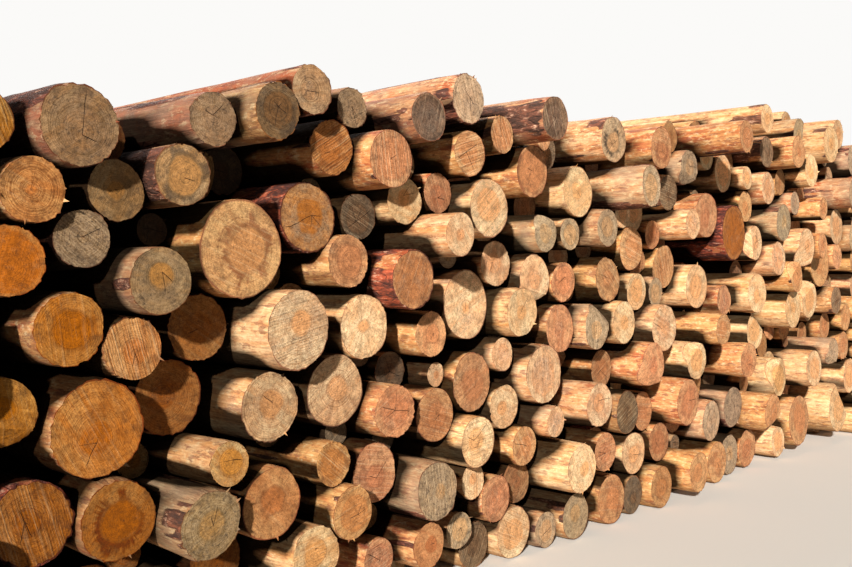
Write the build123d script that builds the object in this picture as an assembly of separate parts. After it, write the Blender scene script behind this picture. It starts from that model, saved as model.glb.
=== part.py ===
from build123d import *
import math
import os
from random import Random

import numpy as np

# A heap of short round logs, stacked loose with their sawn ends in one face.
# X runs along that face to the right, Y runs into the heap and Z is up. All sizes are in mm.
LOG_LENGTH = 2000.0
TAPER = 4.5                # loss of radius, butt to top, for each metre of log
BUTT_SHARE = 0.6           # share of the logs whose thicker butt end lies in the face
CLEARANCE = 0.4            # left between two logs where they touch
END_MARGIN = 4.0           # kept past a log's two ends when a neighbour is tested against it
SPLAY = 14.0               # how far a back end strays from straight behind its front end
SAW_SLANT = 2.6            # degrees, the most that a saw cut is out of square with its log
SAW_STOCK = 5.0            # length beyond the lowest edge of a slanting cut, sawn off

# The front ends were measured from one standing point, on the plane of the face.
# An end that stands out of that plane is nearer, so its reading shrinks toward that point.
EYE_DISTANCE = 3040.0
EYE_HEIGHT = 1600.0
MEAN_STAND_OUT = 60.0      # how far out of the measured plane the middle of the face lies
STEEPEST_SIGHT = 1.4       # most that an end slides in Y for a move along X

# Settling: how far an end may move from its reading to find its seat, and in what steps.
SIDE_REACH = 54.0
SIDE_STEP = 6.0
DROP_REACH = 150.0
RISE_REACH = 120.0
HEIGHT_STEP = 6.0
SIDE_EASE = 0.45           # a move along the face counts this much of one up or down
STEEPEST_CLIMB = 3.0       # two trial places that differ more in height share no seat
SEAT_ROOM = 12.0           # searched above and below two trial places for the seat between them
HALVINGS = 9               # of a step, down to a thousandth of a millimetre
PARALLEL = 1e-9            # slope under which two logs lie side by side
STEEPEST_LEAN = 0.999
NEAR = 260.0               # logs whose sides are further apart than this never touch

# Spreading: ends whose readings overlap are pushed apart, sooner along the face than up.
SPREAD_ROUNDS = 400
SPREAD_SHARE = 0.8         # of each overlap, cleared in one round
HOLD = 0.04                # of the way back to its reading, gone in the first round
READ_EASE = (1.0, 0.25)    # along the face and up, for a measured end
PLAIN_EASE = (1.0, 1.0)

# The items of a log that move together: its front end, its back end, or both.
FRONT_END = [(0, 1)]
BACK_END = [(2, 3)]
BOTH_ENDS = [(0, 1), (2, 3)]

# Logs that no reading covers: hidden ones in the heap, and the two ends of the heap.
HEAP_OUTLINE = [(-150, 0), (1080, 2130), (3700, 2520), (5000, 2420), (7300, 2760), (9350, 2900),
                (11000, 0)]
MEASURED_FROM = 1150.0
MEASURED_TO = 9300.0
LARGEST_FILL = 150.0       # radius
LARGE_FILL = 128.0
SMALLEST_FILL = 70.0
FILL_GRID = 16.0
END_OUT = 60.0             # largest stand-out or set-back of an end log
HIDDEN_BACK = (140.0, 320.0)

TIER_HEIGHT = 420.0
LOOKS = {"F": "fresh", "A": "amber", "W": "weathered", "D": "dark", "B": "barked"}
FILL_LOOKS = "AFAFWAFB"

# Each log's front end: along the face, height of its middle, diameter, stand-out from the
# measured plane (set back where it is below zero), and its look.
MEASURED = [
    (1209, 2068, 215, 0, "A"), (1530, 2089, 300, 80, "W"), (2070, 2143, 223, 60, "W"),
    (1936, 1950, 245, 40, "W"), (1668, 1871, 232, -60, "W"), (1375, 1861, 236, 0, "A"),
    (2566, 2355, 220, 150, "W"), (2382, 2145, 235, 80, "D"), (2675, 2109, 250, 60, "A"),
    (2539, 1843, 310, 120, "B"), (2200, 1654, 420, 120, "A"), (1530, 1702, 220, 20, "W"),
    (1843, 1557, 265, 100, "W"), (1289, 1627, 250, 0, "A"), (1482, 1393, 270, 60, "A"),
    (1730, 1321, 240, 0, "A"), (1995, 1350, 270, -50, "A"), (2489, 1329, 350, 150, "F"),
    (1579, 1064, 365, 60, "A"), (1864, 1091, 300, -60, "A"), (1245, 1114, 260, 0, "A"),
    (2338, 1032, 310, 110, "F"), (2693, 1034, 330, 60, "F"), (2139, 854, 190, 120, "F"),
    (2346, 704, 300, 60, "A"), (2682, 766, 210, 110, "A"), (1361, 743, 285, 0, "B"),
    (1668, 707, 300, 40, "A"), (2054, 609, 285, 200, "W"), (2579, 377, 280, 170, "F"),
    (1900, 330, 270, 0, "F"), (2250, 180, 260, 0, "F"), (1807, 1746, 130, -250, "D"),
    (2110, 1950, 200, -400, "D"),
    (2793, 2309, 190, 60, "W"), (3296, 2289, 250, 250, "D"), (3591, 2454, 260, 150, "W"),
    (3604, 2198, 240, 120, "A"), (3870, 2316, 210, 120, "A"), (3041, 2100, 280, 110, "A"),
    (3359, 1962, 210, 20, "A"), (3127, 1832, 240, 90, "F"), (3761, 1918, 320, 140, "F"),
    (4135, 2133, 300, 90, "A"), (4352, 2448, 260, 300, "D"), (3530, 1739, 230, 200, "F"),
    (3814, 1600, 260, 40, "F"), (2770, 1568, 255, 90, "A"), (3189, 1529, 285, 150, "B"),
    (3573, 1430, 370, 60, "F"), (3312, 1254, 240, 60, "A"), (4046, 1341, 280, 80, "F"),
    (4160, 1552, 280, 50, "F"), (2868, 1291, 300, 0, "F"), (3064, 930, 265, 90, "A"),
    (3621, 1014, 330, 110, "A"), (3345, 1045, 130, -100, "F"), (3873, 1123, 190, 80, "F"),
    (3889, 875, 250, -20, "F"), (4254, 969, 345, 100, "F"), (3341, 793, 275, 30, "A"),
    (2930, 666, 285, 40, "A"), (3673, 704, 270, 80, "F"), (4068, 643, 230, 20, "A"),
    (2796, 475, 250, 170, "A"), (2957, 270, 200, 20, "A"), (3359, 502, 300, 160, "W"),
    (3630, 502, 195, 20, "F"), (3820, 382, 255, 20, "A"), (3993, 430, 245, -80, "A"),
    (3296, 252, 235, 150, "A"), (3520, 286, 200, -20, "W"), (3636, 127, 250, -50, "D"),
    (3975, 153, 295, 20, "F"), (4270, 142, 215, 20, "W"), (3030, 1090, 200, -200, "D"),
    (2829, 1764, 225, 0, "D"), (3070, 1630, 160, -250, "D"),
    (4980, 2325, 290, 60, "W"), (4587, 2037, 310, 50, "F"), (4263, 1767, 220, 100, "W"),
    (4504, 1806, 200, 30, "W"), (4913, 1835, 240, 80, "W"), (5087, 1946, 185, 20, "F"),
    (5448, 2138, 280, 260, "W"), (5577, 2379, 290, 170, "A"), (5690, 2400, 210, -80, "A"),
    (5670, 2052, 250, -60, "D"), (4438, 1569, 240, 20, "A"), (4913, 1537, 285, 50, "A"),
    (5190, 1735, 285, 0, "A"), (5460, 1820, 200, -80, "A"), (5610, 1600, 310, -60, "A"),
    (5260, 1454, 250, 30, "F"), (5506, 1454, 200, -60, "W"), (4404, 1254, 290, 30, "A"),
    (4798, 1254, 280, 130, "W"), (5110, 1250, 280, 80, "F"), (5630, 1206, 330, 100, "F"),
    (4846, 998, 240, -60, "A"), (5480, 960, 305, 200, "A"), (4365, 700, 190, 130, "F"),
    (4830, 754, 285, 120, "F"), (5154, 694, 280, 30, "D"), (5346, 677, 260, -60, "A"),
    (4638, 408, 310, 180, "F"), (4894, 479, 250, 140, "A"), (5230, 435, 280, 20, "F"),
    (5560, 440, 270, 0, "A"), (4571, 146, 285, 60, "W"), (4963, 158, 320, 40, "A"),
    (5220, 125, 250, -60, "D"), (5600, 142, 290, 130, "A"),
    (6904, 2510, 260, 450, "A"), (7284, 2480, 260, 60, "D"), (7290, 2690, 240, 300, "F"),
    (6230, 2330, 230, 60, "F"), (6500, 2214, 290, 20, "F"), (6920, 2270, 190, 90, "F"),
    (5974, 2146, 250, 30, "W"), (6890, 2026, 250, 80, "A"), (7320, 2164, 270, 110, "F"),
    (6030, 1884, 225, 180, "F"), (6236, 1814, 320, -100, "A"), (6690, 1754, 410, 60, "B"),
    (7076, 1690, 275, 20, "F"), (6090, 1484, 330, 100, "F"), (6530, 1360, 230, 80, "A"),
    (7120, 1400, 330, 180, "F"), (6520, 1156, 245, 230, "A"), (7080, 1134, 320, 120, "F"),
    (6100, 1120, 180, -150, "D"), (6100, 940, 285, 110, "F"), (6970, 870, 280, 130, "A"),
    (5970, 634, 345, 170, "A"), (6290, 800, 200, -200, "D"), (6330, 496, 300, -50, "W"),
    (6690, 560, 320, 40, "W"), (6880, 690, 170, -100, "A"), (7440, 416, 310, 170, "A"),
    (5780, 400, 140, -100, "D"), (6140, 140, 300, 200, "A"), (6430, 160, 310, 20, "A"),
    (6630, 190, 310, -50, "W"), (6950, 220, 310, 20, "A"), (7550, 190, 260, 0, "F"),
    (7985, 2700, 320, 100, "W"), (7950, 2530, 280, 150, "A"), (8720, 2665, 340, 120, "F"),
    (8900, 2760, 280, -60, "F"), (9320, 2640, 320, 50, "W"), (8245, 2360, 310, 160, "F"),
    (8670, 2360, 200, -100, "F"), (9350, 2340, 300, 200, "W"), (7557, 2235, 235, 0, "A"),
    (7876, 2107, 210, 40, "W"), (8540, 2130, 215, 130, "A"), (7637, 1926, 315, 140, "W"),
    (8150, 1724, 350, 130, "F"), (8530, 1824, 235, 150, "A"), (8870, 1904, 340, 40, "F"),
    (7540, 1620, 290, 90, "F"), (8900, 1620, 240, 60, "A"), (8463, 1513, 420, 50, "A"),
    (7930, 1450, 270, 200, "A"), (7854, 1210, 340, 110, "F"), (8224, 1237, 340, 20, "F"),
    (8883, 1290, 260, 90, "D"), (8590, 1090, 250, -50, "A"), (9137, 1130, 260, 60, "A"),
    (8050, 1000, 220, -100, "A"), (8340, 750, 330, 150, "F"), (8820, 830, 250, 180, "W"),
    (9080, 880, 270, 40, "A"), (7560, 675, 340, 100, "F"), (8000, 295, 440, 40, "A"),
    (8960, 275, 470, 150, "F"), (9270, 570, 350, 40, "F"), (8750, 680, 250, -300, "D"),
    (7700, 410, 200, -300, "D"), (9450, 1000, 300, 0, "F"), (9370, 1690, 260, 0, "A"),
    (9400, 1930, 300, 0, "F"), (9420, 1430, 300, 0, "F"), (9560, 1180, 280, 0, "B"),
]


def tier_of(height):
    """The tier, counted from the ground, that a log's front end was placed in."""
    return int(height / TIER_HEIGHT) + 1


def measured_ends():
    """The measured front ends, each moved along its line of sight to its real place.

    An end is its x, z, radius, y, look, slide in y for a move along x, and tier.
    """
    ends = []
    for along, height, diameter, stand_out, look in MEASURED:
        out = stand_out - MEAN_STAND_OUT
        nearness = 1 - out / EYE_DISTANCE
        x = along * nearness
        z = EYE_HEIGHT + (height - EYE_HEIGHT) * nearness
        sight = min(EYE_DISTANCE / along, STEEPEST_SIGHT)
        ends.append((x, z, diameter * nearness / 2, -out, look, sight, tier_of(height)))
    return ends


def filled_ends(circles):
    """Plain logs for every place inside the heap's outline that holds no measured one."""
    chance = Random(7)
    left, right = HEAP_OUTLINE[0][0], HEAP_OUTLINE[-1][0]
    highest = max(height for _, height in HEAP_OUTLINE)
    x, z = np.meshgrid(np.arange(left, right, FILL_GRID), np.arange(0, highest, FILL_GRID))
    top = np.interp(x, [point[0] for point in HEAP_OUTLINE], [point[1] for point in HEAP_OUTLINE])
    room = np.minimum(z, top - z)
    for circle_x, circle_z, radius in circles:
        room = np.minimum(room, np.hypot(x - circle_x, z - circle_z) - radius)
    ends = []
    while room.max() >= SMALLEST_FILL:
        roomy = np.argwhere(room >= LARGE_FILL)
        at = tuple(roomy[0]) if len(roomy) else np.unravel_index(np.argmax(room), z.shape)
        radius = min(room[at], LARGEST_FILL)
        room = np.minimum(room, np.hypot(x - x[at], z - z[at]) - radius)
        hidden = MEASURED_FROM < x[at] < MEASURED_TO
        y = chance.uniform(*HIDDEN_BACK) if hidden else chance.uniform(-END_OUT, END_OUT)
        look = chance.choice(FILL_LOOKS)
        ends.append((x[at], z[at], radius, y, look, 0.0, tier_of(z[at])))
    return ends


def spread(places, radii, ease):
    """Moves circles apart until none overlaps, each held lightly to its own place.

    ease says how easily each circle moves along the face and up.
    """
    at = places.copy()
    for turn in range(SPREAD_ROUNDS):
        at += (places - at) * HOLD * (1 - turn / SPREAD_ROUNDS)
        offset = at[:, None, :] - at[None, :, :]
        distance = np.hypot(offset[..., 0], offset[..., 1])
        np.fill_diagonal(distance, np.inf)
        overlap = np.maximum(radii[:, None] + radii[None, :] + CLEARANCE - distance, 0)
        toward = offset / distance[..., None]
        pair_ease = ((ease[:, None, :] + ease[None, :, :]) * toward ** 2).sum(axis=-1)
        np.fill_diagonal(pair_ease, 1)
        push = toward * (overlap / pair_ease)[..., None]
        at += push.sum(axis=1) * ease * SPREAD_SHARE
        at[:, 1] = np.maximum(at[:, 1], radii)
    return at


def line_of(front_x, front_z, back_x, back_z, y, front_radius, back_radius):
    """A log's middle line and radius as start and slope in Y, its radius widened for its tilt."""
    slope_x = (back_x - front_x) / LOG_LENGTH
    slope_z = (back_z - front_z) / LOG_LENGTH
    widening = np.sqrt(1 + slope_x ** 2 + slope_z ** 2)
    slope_r = (back_radius - front_radius) / LOG_LENGTH * widening
    return (
        front_x - slope_x * y, slope_x,
        front_z - slope_z * y, slope_z,
        front_radius * widening - slope_r * y, slope_r,
    )


def gaps(log, laid):
    """The smallest gap from a log to the ground, then to every laid log, along the last axis.

    Each item of log may be an array of trial values, and the answer has their shape first.
    """
    front_x, front_z, back_x, back_z, y, front_radius, back_radius = [
        np.asarray(value, float)[..., None] for value in log[:7]
    ]
    x0, x1, z0, z1, r0, r1 = line_of(
        front_x, front_z, back_x, back_z, y, front_radius, back_radius
    )
    front_y, back_y = y - END_MARGIN, y + LOG_LENGTH + END_MARGIN
    front_lift = z0 + z1 * front_y - (r0 + r1 * front_y)
    back_lift = z0 + z1 * back_y - (r0 + r1 * back_y)
    ground = np.minimum(front_lift, back_lift) + CLEARANCE
    ox0, ox1, oz0, oz1, or0, or1 = line_of(*laid[:7])
    start_x, slope_x = x0 - ox0, x1 - ox1
    start_z, slope_z = z0 - oz0, z1 - oz1
    start_r, slope_r = r0 + or0, r1 + or1
    low = np.maximum(y, laid[4]) - END_MARGIN
    high = np.minimum(y, laid[4]) + LOG_LENGTH + END_MARGIN
    turn = np.sqrt(slope_x ** 2 + slope_z ** 2) + PARALLEL
    nearest = -(start_x * slope_x + start_z * slope_z) / turn ** 2
    apart = np.abs(start_x * slope_z - start_z * slope_x) / turn
    lean = np.clip(slope_r / turn, -STEEPEST_LEAN, STEEPEST_LEAN)
    tightest = nearest + apart * lean / (turn * np.sqrt(1 - lean ** 2))
    least = np.full(np.broadcast(low, tightest).shape, np.inf)
    for at in (np.clip(tightest, low, high), low, high):
        gap = np.hypot(start_x + slope_x * at, start_z + slope_z * at) - start_r - slope_r * at
        least = np.minimum(least, gap)
    return np.concatenate([ground, least], axis=-1)


def shifted(log, moved, side, lift):
    """The log with the named pairs of its items moved sideways and up.

    A measured front end that moves sideways also slides along its line of sight.
    """
    trial = [np.broadcast_to(value, np.shape(side)).astype(float) for value in log]
    for x_item, z_item in moved:
        trial[x_item] = log[x_item] + side
        trial[z_item] = log[z_item] + lift
    if moved[0] == (0, 1):
        trial[4] = log[4] + side * log[7]
    return trial


def settle(log, moved, side, free, held, laid):
    """Halves the way between a held and a free lift; gives the free one and what holds it."""
    for _ in range(HALVINGS):
        middle = (free + held) / 2
        is_free = gaps(shifted(log, moved, side, middle), laid).min(axis=-1) >= CLEARANCE
        free = np.where(is_free, middle, free)
        held = np.where(is_free, held, middle)
    holder = np.argmin(gaps(shifted(log, moved, side, held), laid), axis=-1)
    return free, holder


def seat(log, moved, laid, contacts, reach=1):
    """Moves one end of a log, or both, to the nearest place where one or two others carry it."""
    sides = np.arange(-SIDE_REACH * reach, SIDE_REACH * reach + 1, SIDE_STEP)
    lifts = np.arange(-DROP_REACH * reach, RISE_REACH * reach + 1, HEIGHT_STEP)
    side, lift = np.meshgrid(sides, lifts, indexing="ij")
    is_free = gaps(shifted(log, moved, side, lift), laid).min(axis=-1) >= CLEARANCE
    rests = is_free[:, 1:] & ~is_free[:, :-1]

    def cost(side, lift):
        return (SIDE_EASE * side) ** 2 + lift ** 2

    costs = np.where(rests, cost(side[:, 1:], lift[:, 1:]), np.inf)
    lowest = np.argmin(costs, axis=1)
    seated = np.isfinite(costs.min(axis=1))
    if not seated.any():
        return seat(log, moved, laid, contacts, reach * 2)
    free = lifts[1:][lowest]
    free, holder = settle(log, moved, sides, free, free - HEIGHT_STEP, laid)
    best = int(np.argmin(np.where(seated, cost(sides, free), np.inf)))
    best_side, best_lift = sides[best], free[best]
    near = seated[:-1] & seated[1:] & (np.abs(np.diff(free)) < STEEPEST_CLIMB * SIDE_STEP)
    left = np.flatnonzero(near & (holder[:-1] != holder[1:]))
    if contacts == 2 and left.size:
        from_side, to_side = sides[left], sides[left + 1]
        top = np.maximum(free[left], free[left + 1]) + SEAT_ROOM
        bottom = np.minimum(free[left], free[left + 1]) - SEAT_ROOM
        for _ in range(HALVINGS):
            middle = (from_side + to_side) / 2
            lift_at, holder_at = settle(log, moved, middle, top, bottom, laid)
            same = holder_at == holder[left]
            from_side = np.where(same, middle, from_side)
            to_side = np.where(same, to_side, middle)
        is_free = gaps(shifted(log, moved, middle, lift_at), laid).min(axis=-1) >= CLEARANCE
        if is_free.any():
            best = int(np.argmin(np.where(is_free, cost(middle, lift_at), np.inf)))
            best_side, best_lift = middle[best], lift_at[best]
    return [float(value) for value in shifted(log, moved, best_side, best_lift)]


def lay_logs():
    """Lays every log on those below it, from the ground up, and gives each with its node's name."""
    read = measured_ends()
    places = spread(
        np.array([end[:2] for end in read]), np.array([end[2] for end in read]),
        np.array([READ_EASE] * len(read)),
    )
    ends = [(*place, *end[2:]) for place, end in zip(places, read)]
    ends += filled_ends([end[:3] for end in ends])
    chance = Random(11)
    loss = TAPER * LOG_LENGTH / 1000
    front = np.array([(end[0], end[1]) for end in ends])
    front_radius = np.array([end[2] for end in ends])
    butt_first = np.array([chance.random() < BUTT_SHARE for _ in ends])
    back_radius = front_radius + np.where(butt_first, -loss, loss)
    ease = np.array([READ_EASE] * len(read) + [PLAIN_EASE] * (len(ends) - len(read)))
    front = spread(front, front_radius, ease)
    stray = np.array([(chance.uniform(-SPLAY, SPLAY), 0) for _ in ends])
    back = spread(front + stray, back_radius, np.ones_like(front))
    laid, names = [], []
    for index in np.argsort(front[:, 1] + back[:, 1]):
        _, _, radius, y, look, sight, tier = ends[index]
        is_read = index < len(read)
        if is_read:
            y += (front[index, 0] - read[index][0]) * sight
        log = [*front[index], *back[index], y, radius, back_radius[index], sight]
        table = np.array(laid).reshape(-1, len(log)).T
        near = np.hypot(table[0] - log[0], table[1] - log[1]) < NEAR + table[5] + radius
        for moved, contacts in ((BOTH_ENDS, 1), (BACK_END, 2), (FRONT_END, 1 if is_read else 2)):
            log = seat(log, moved, table[:, near], contacts)
        laid.append(log)
        names.append(f"tier_{tier}_{LOOKS[look]}_logs")
    return laid, names


def sawn_log(front_x, front_z, back_x, back_z, y, front_radius, back_radius, chance):
    """One log, turned from its half outline and sawn off a little out of square at each end."""
    front = Vector(front_x, y, front_z)
    along = Vector(back_x, y + LOG_LENGTH, back_z) - front
    spare = max(front_radius, back_radius) * math.tan(math.radians(SAW_SLANT)) + SAW_STOCK
    growth = (back_radius - front_radius) / along.length * spare
    half = make_face(Polyline(
        (0, -spare), (front_radius - growth, -spare),
        (back_radius + growth, along.length + spare), (0, along.length + spare), close=True,
    ))
    log = revolve(Plane.XZ * half, Axis.Z)
    for middle, keep in ((0, Keep.TOP), (along.length, Keep.BOTTOM)):
        slant = math.radians(chance.uniform(0, SAW_SLANT))
        turn = chance.uniform(0, 2 * math.pi)
        across = Vector(math.cos(turn), math.sin(turn), 0) * math.sin(slant)
        square_on = Vector(0, 0, math.cos(slant))
        log = split(log, Plane(origin=(0, 0, middle), z_dir=square_on + across), keep=keep)
    return Plane(origin=front, z_dir=along) * log


def build_heap():
    """The logs of each tier and look, as one compound for each node."""
    nodes = {}
    chance = Random(13)
    for log, name in zip(*lay_logs()):
        nodes.setdefault(name, []).append(sawn_log(*log[:7], chance))
    return {name: Compound(children=solids) for name, solids in nodes.items()}


def main():
    """Stands the heap on its origin, at the middle of its underside, and writes its nodes."""
    nodes = build_heap()
    box = Compound(children=[log for node in nodes.values() for log in node.solids()]).bounding_box()
    to_origin = Location((-box.center().X, -box.center().Y, -box.min.Z))
    os.makedirs("parts", exist_ok=True)
    for name, node in sorted(nodes.items()):
        export_step(to_origin * node, f"parts/{name}.step")


main()
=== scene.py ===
import math
import random

import bmesh
import bpy
import numpy as np
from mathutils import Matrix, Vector


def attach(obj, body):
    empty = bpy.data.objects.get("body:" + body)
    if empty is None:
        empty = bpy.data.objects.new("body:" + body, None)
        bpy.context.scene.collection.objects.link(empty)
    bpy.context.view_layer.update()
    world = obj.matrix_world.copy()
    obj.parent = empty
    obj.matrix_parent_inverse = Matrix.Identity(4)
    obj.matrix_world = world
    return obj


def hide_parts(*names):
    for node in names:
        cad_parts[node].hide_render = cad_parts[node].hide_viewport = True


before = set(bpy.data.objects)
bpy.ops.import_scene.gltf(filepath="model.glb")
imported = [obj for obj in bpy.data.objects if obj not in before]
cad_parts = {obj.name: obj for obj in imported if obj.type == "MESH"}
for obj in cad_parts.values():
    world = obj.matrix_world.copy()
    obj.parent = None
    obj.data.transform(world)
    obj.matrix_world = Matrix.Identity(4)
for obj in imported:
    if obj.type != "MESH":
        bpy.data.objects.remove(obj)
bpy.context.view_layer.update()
bpy.context.scene.view_settings.view_transform = "Standard"


# Fresh logs: conifer stems cut to two metres not long ago, cream to yellow tan.
# Most of the bark came off as they were dragged, so the smooth wood under it shows on the sides.
# Each is built on the middle line and the two sawn ends of its own solid in the frame.


def linear(hex_colour):
    """An sRGB hex value as the linear colour that a node takes."""
    parts = [int(hex_colour[i:i + 2], 16) / 255 for i in (1, 3, 5)]
    return [c / 12.92 if c <= 0.04045 else ((c + 0.055) / 1.055) ** 2.4 for c in parts] + [1.0]


def logs_of(node):
    """For each log of a node: its two end middles, its two radii and the way each end faces."""
    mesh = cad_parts[node].data
    mesh.calc_loop_triangles()
    points = np.empty(len(mesh.vertices) * 3, np.float32)
    mesh.vertices.foreach_get("co", points)
    corners = np.empty(len(mesh.loop_triangles) * 3, np.int32)
    mesh.loop_triangles.foreach_get("vertices", corners)
    points, same = np.unique(points.reshape(-1, 3).round(5), axis=0, return_inverse=True)
    corners = same.reshape(-1)[corners].reshape(-1, 3)
    points = points.astype(float)
    group = np.arange(len(points))
    while True:
        lowest = group[corners].min(axis=1)
        joined = group.copy()
        for side in range(3):
            np.minimum.at(joined, corners[:, side], lowest)
        joined = joined[joined]
        if (joined == group).all():
            break
        group = joined
    sides = points[corners]
    across = np.cross(sides[:, 1] - sides[:, 0], sides[:, 2] - sides[:, 0]) / 2
    area = np.linalg.norm(across, axis=1)
    facing = across[:, 1] / np.maximum(area, 1e-12)
    found = []
    for label in np.unique(group):
        ends = []
        for way in (-1, 1):
            sawn = (group[corners[:, 0]] == label) & (facing * way > 0.9)
            middle = (sides[sawn].mean(axis=1) * area[sawn, None]).sum(axis=0) / area[sawn].sum()
            out = across[sawn].sum(axis=0)
            ends.append((middle, out / np.linalg.norm(out), sides[sawn].reshape(-1, 3)))
        (front, front_out, front_rim), (back, back_out, back_rim) = ends
        along = (back - front) / np.linalg.norm(back - front)
        radii = []
        for middle, rim in ((front, front_rim), (back, back_rim)):
            reach = rim - middle
            reach -= (reach @ along)[:, None] * along
            radii.append(np.linalg.norm(reach, axis=1).mean())
        found.append((front, back, *radii, front_out, back_out))
    return sorted(found, key=lambda log: (round(log[0][0], 3), round(log[0][2], 3)))


NOTCH_CHORD = 0.45                      # where a felling notch starts, in radii from the middle


def plain_log(around, cuts, rings):
    """One straight log of radius 1 from y 0 to y 1, with loops round it and rings on its ends.

    The loops lie closer towards the ends, and a straight edge crosses each end at the notch
    chord. Returns its points, its faces as lists of point numbers, and which faces are sawn ends.
    """
    bpy.ops.object.select_all(action="DESELECT")
    bpy.ops.mesh.primitive_cylinder_add(
        vertices=around, radius=1, depth=1, location=(0, 0.5, 0), rotation=(math.pi / 2, 0, 0)
    )
    log = bpy.context.object
    bpy.ops.object.transform_apply(location=True, rotation=True, scale=True)
    bpy.ops.object.mode_set(mode="EDIT")
    bpy.ops.mesh.select_mode(type="EDGE")
    bpy.ops.mesh.select_all(action="DESELECT")
    shape = bmesh.from_edit_mesh(log.data)
    for edge in shape.edges:
        edge.select_set(abs(edge.verts[0].co.y - edge.verts[1].co.y) > 0.5)
    bmesh.update_edit_mesh(log.data)
    bpy.ops.mesh.subdivide(number_cuts=cuts)
    bpy.ops.mesh.select_all(action="DESELECT")
    bpy.ops.mesh.select_mode(type="FACE")
    shape = bmesh.from_edit_mesh(log.data)
    shape.normal_update()
    for face in shape.faces:
        face.select_set(abs(face.normal.y) > 0.9)
    bmesh.update_edit_mesh(log.data)
    for width in rings:
        bpy.ops.mesh.inset(thickness=width)
    bpy.ops.mesh.poke()
    shape = bmesh.from_edit_mesh(log.data)
    shape.normal_update()
    ends = [face for face in shape.faces if abs(face.normal.y) > 0.9]
    edges = list({edge for face in ends for edge in face.edges})
    points = list({point for face in ends for point in face.verts})
    bmesh.ops.bisect_plane(shape, geom=ends + edges + points, plane_co=(-NOTCH_CHORD, 0, 0),
                           plane_no=(1, 0, 0), dist=1e-5)
    bmesh.update_edit_mesh(log.data)
    bpy.ops.object.mode_set(mode="OBJECT")
    points = np.array([vertex.co[:] for vertex in log.data.vertices])
    share = points[:, 1] * 2 - 1
    points[:, 1] = 0.5 + (1.5 * share - 0.5 * share ** 3) / 2
    faces = [list(face.vertices) for face in log.data.polygons]
    sawn = np.array([abs(face.normal.y) > 0.9 for face in log.data.polygons])
    bpy.data.objects.remove(log)
    return points, faces, sawn


def cloudy(at, seed):
    """Smooth random values from -1 to 1 at each point of space, one lattice cell to a unit.

    Each corner of a cell gets its value from its three whole numbers and the seed, stirred by
    large odd factors.
    """
    cell = np.floor(at).astype(np.int64)
    part = at - cell
    part = part * part * (3 - 2 * part)
    total = np.zeros(len(at))
    for corner in range(8):
        step = np.array([corner & 1, corner >> 1 & 1, corner >> 2 & 1])
        spot = cell + step
        mixed = spot[:, 0] * 374761393 + spot[:, 1] * 668265263 + spot[:, 2] * 2147483647
        mixed = (mixed + seed * 1274126177) & 0xFFFFFFFF
        mixed = (mixed ^ (mixed >> 13)) * 1103515245 & 0xFFFFFFFF
        value = ((mixed ^ (mixed >> 16)) & 0xFFFF) / 32767.5 - 1
        weight = np.where(step, part, 1 - part).prod(axis=1)
        total += value * weight
    return total


PROBE = 0.10                            # how far out from a side a neighbour is looked for
RAMP = 0.05                             # how far behind a neighbour's end the painted shade begins in full


def sheltered(log, placed, skin, heap):
    """How deep each point lies among the neighbouring logs, 0 in the open and 1 well inside, which
    the materials paint as shade.
    """
    front, back, front_radius, back_radius = log[:4]
    axis = (back - front) / (back - front)[1]
    off = placed - front - (placed[:, 1] - front[1])[:, None] * axis
    size = np.maximum(np.linalg.norm(off, axis=1), 1e-6)
    probe = placed + off * (PROBE / size)[:, None]
    open_share = np.ones(len(placed))
    set_back = []
    for other in heap:
        gap = math.hypot(front[0] - other[0][0], front[2] - other[0][2]) - front_radius - other[2]
        if other[0] is front or gap > 3 * PROBE:
            continue
        share = (probe[:, 1] - other[0][1]) / (other[1][1] - other[0][1])
        middle = other[0] + share[:, None] * (other[1] - other[0])
        reach = np.hypot(probe[:, 0] - middle[:, 0], probe[:, 2] - middle[:, 2])
        beside = np.clip((other[2] + PROBE - reach) / PROBE, 0, 1)
        within = np.minimum(probe[:, 1] - other[0][1], other[1][1] - probe[:, 1]) / RAMP
        open_share *= 1 - beside * np.clip(within, 0, 1)
        if gap < PROBE:
            set_back.append((front[1] - other[0][1], other[1][1] - back[1]))
    at_front, at_back = np.clip(np.array(set_back or [(0, 0)]) / (4 * RAMP), 0, 1).mean(axis=0)
    nearer_front = placed[:, 1] < (front[1] + back[1]) / 2
    return np.where(skin, 1 - open_share, np.where(nearer_front, at_front, at_back))


OUTLINE_WAVES = ((2, 0.013), (3, 0.009), (5, 0.005))     # waves round a log, share of its radius
RIM_CHIP = 0.007                        # how deep the sawn edge is nicked
NICK_CELLS = 70                         # nicks round a metre of that edge, 14 mm apart
DENT = 0.004                            # how deep the sides undulate
DENT_CELLS = (11, 4, 11)                # dents in a metre across, along and across the log
END_DIP = 0.003                         # how far a sawn end is off its plane
END_DIP_CELLS = 8
BARK_THICKNESS = 0.007
BARK_INSET = 0.6                        # of that thickness, which the wood lies inside the solid
FLAKE_CELLS = (34, 13, 34)              # bark flakes of 3 by 8 cm
PATCH_CELLS = (9, 3, 9)                 # and patches of 11 by 33 cm that they stand in
PLATE_CELLS = (60, 25, 60)              # plates of 17 by 40 mm, where the bark is thicker
NOTCH_SLOPE = 0.75                      # how far its face runs back for each step outward
NOTCHED_SHARE = 0.14
TOP_OF_HEAP = 1.95                      # logs above it kept more of their bark
TOP_BARK = 0.12
SLANT_ZONE = 0.04                       # share of the length that follows the slant of a saw cut
LARGEST_PITH_OFFSET = 0.28              # of the radius, that the pith lies off the middle
SHADE_FROM = -3.8                       # logs nearer to the eye than this get the most painted shade
SHADE_OVER = 2.0                        # and they brighten over this length
NEAR_BRIGHTNESS = 0.72
BRIGHTER_FAR = 0.5
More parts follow.
